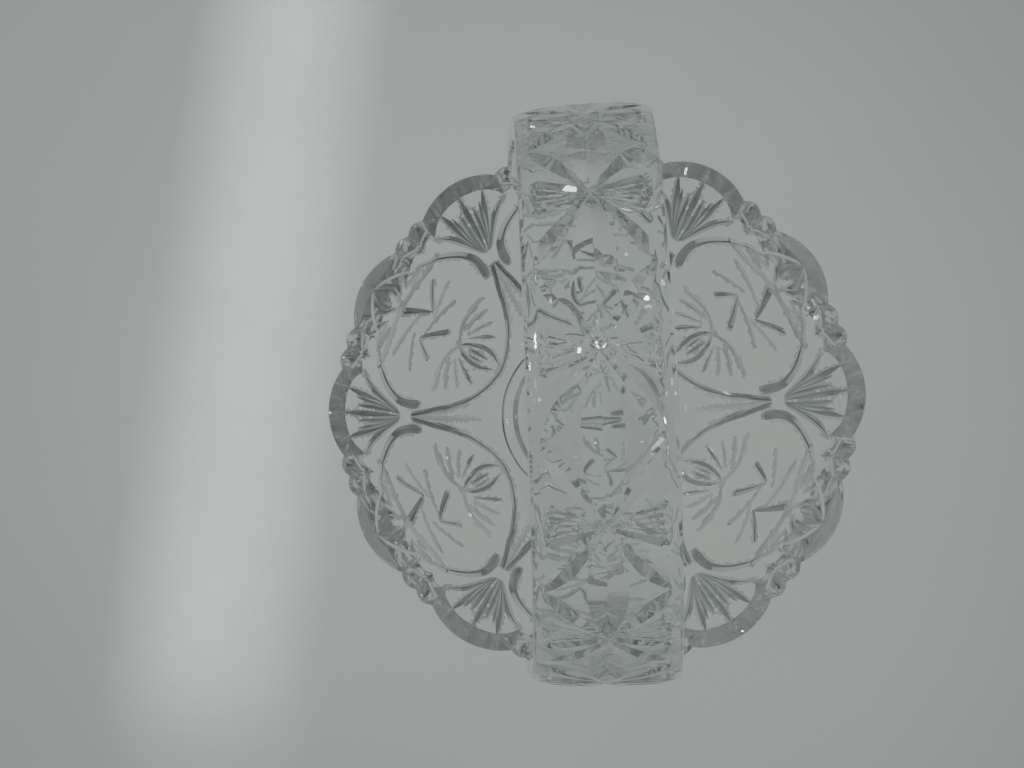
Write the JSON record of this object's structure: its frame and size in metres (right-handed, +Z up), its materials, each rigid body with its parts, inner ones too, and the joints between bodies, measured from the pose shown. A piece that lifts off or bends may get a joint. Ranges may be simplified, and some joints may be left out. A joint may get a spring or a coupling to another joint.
{
  "type": "glass basket bowl",
  "caption": "Round scalloped cut-crystal bowl on a low foot ring, with a wide arched glass handle fused across its rim, for serving or display.",
  "frame": {"origin": "middle of the foot ring, on the surface that the bowl stands on", "axes": "+Z up along the bowl's axis; the handle's arch lies in the YZ plane, with its feet at +Y and -Y; +X is across the handle"},
  "size_m": [0.2096, 0.2024, 0.2485],
  "materials": {
    "bowl_crystal": "polished lead crystal, clear with a faint grey-green cast",
    "handle_crystal": "polished lead crystal, clear with a faint grey-green cast"
  },
  "bodies": {
    "root": {"bowl": "bowl_crystal", "handle": "handle_crystal"}
  },
  "joints": []
}
